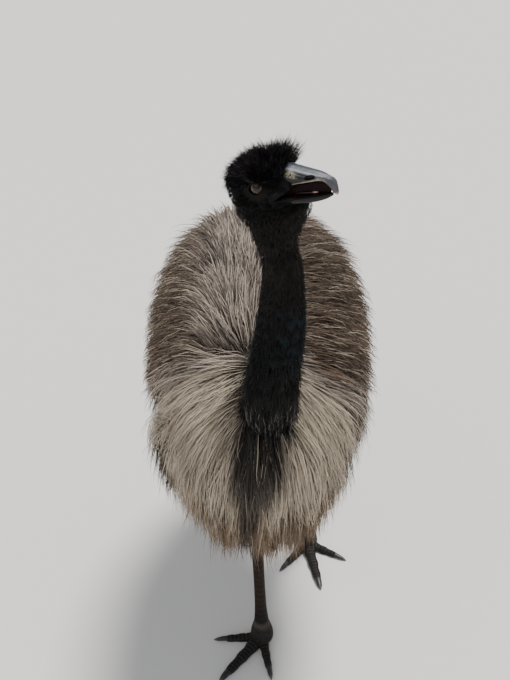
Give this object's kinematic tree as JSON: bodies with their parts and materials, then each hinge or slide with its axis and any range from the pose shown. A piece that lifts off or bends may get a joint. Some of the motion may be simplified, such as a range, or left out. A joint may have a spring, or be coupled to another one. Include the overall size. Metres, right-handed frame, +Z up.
{
  "type": "emu",
  "caption": "Life-size standing emu with shaggy brown back plumage, pale breast, bare-faced head turned to its left, bill ajar and right foot ahead.",
  "frame": {"origin": "on the floor, on the flat sole of the right foot under its toe joint", "axes": "+Z up, -Y the way the breast faces, +X towards the bird's left side"},
  "size_m": [0.5272, 1.2853, 1.6264],
  "materials": {
    "flank": "matte",
    "plumage": "matte",
    "neck_feathers": "matte",
    "thigh": "matte",
    "head_skin": "matte",
    "horn": "satin",
    "tongue": "satin",
    "eye": "gloss",
    "leg_scales": "matte",
    "claw": "satin"
  },
  "bodies": {
    "root": {"head": "head_skin", "bill_upper": "horn", "bill_lower": "horn", "tongue": "tongue", "eye_left": "eye", "eye_right": "eye", "neck_upper": "neck_feathers", "neck_lower": "neck_feathers", "torso": "flank", "rump": "plumage", "tail": "plumage", "wing_left": "plumage", "wing_right": "plumage", "thigh_left": "thigh", "thigh_right": "thigh", "shank_left": "leg_scales", "shank_right": "leg_scales", "foot_left": "leg_scales", "foot_right": "leg_scales", "claw_inner_left": "claw", "claw_middle_left": "claw", "claw_outer_left": "claw", "claw_inner_right": "claw", "claw_middle_right": "claw", "claw_outer_right": "claw"}
  },
  "joints": []
}
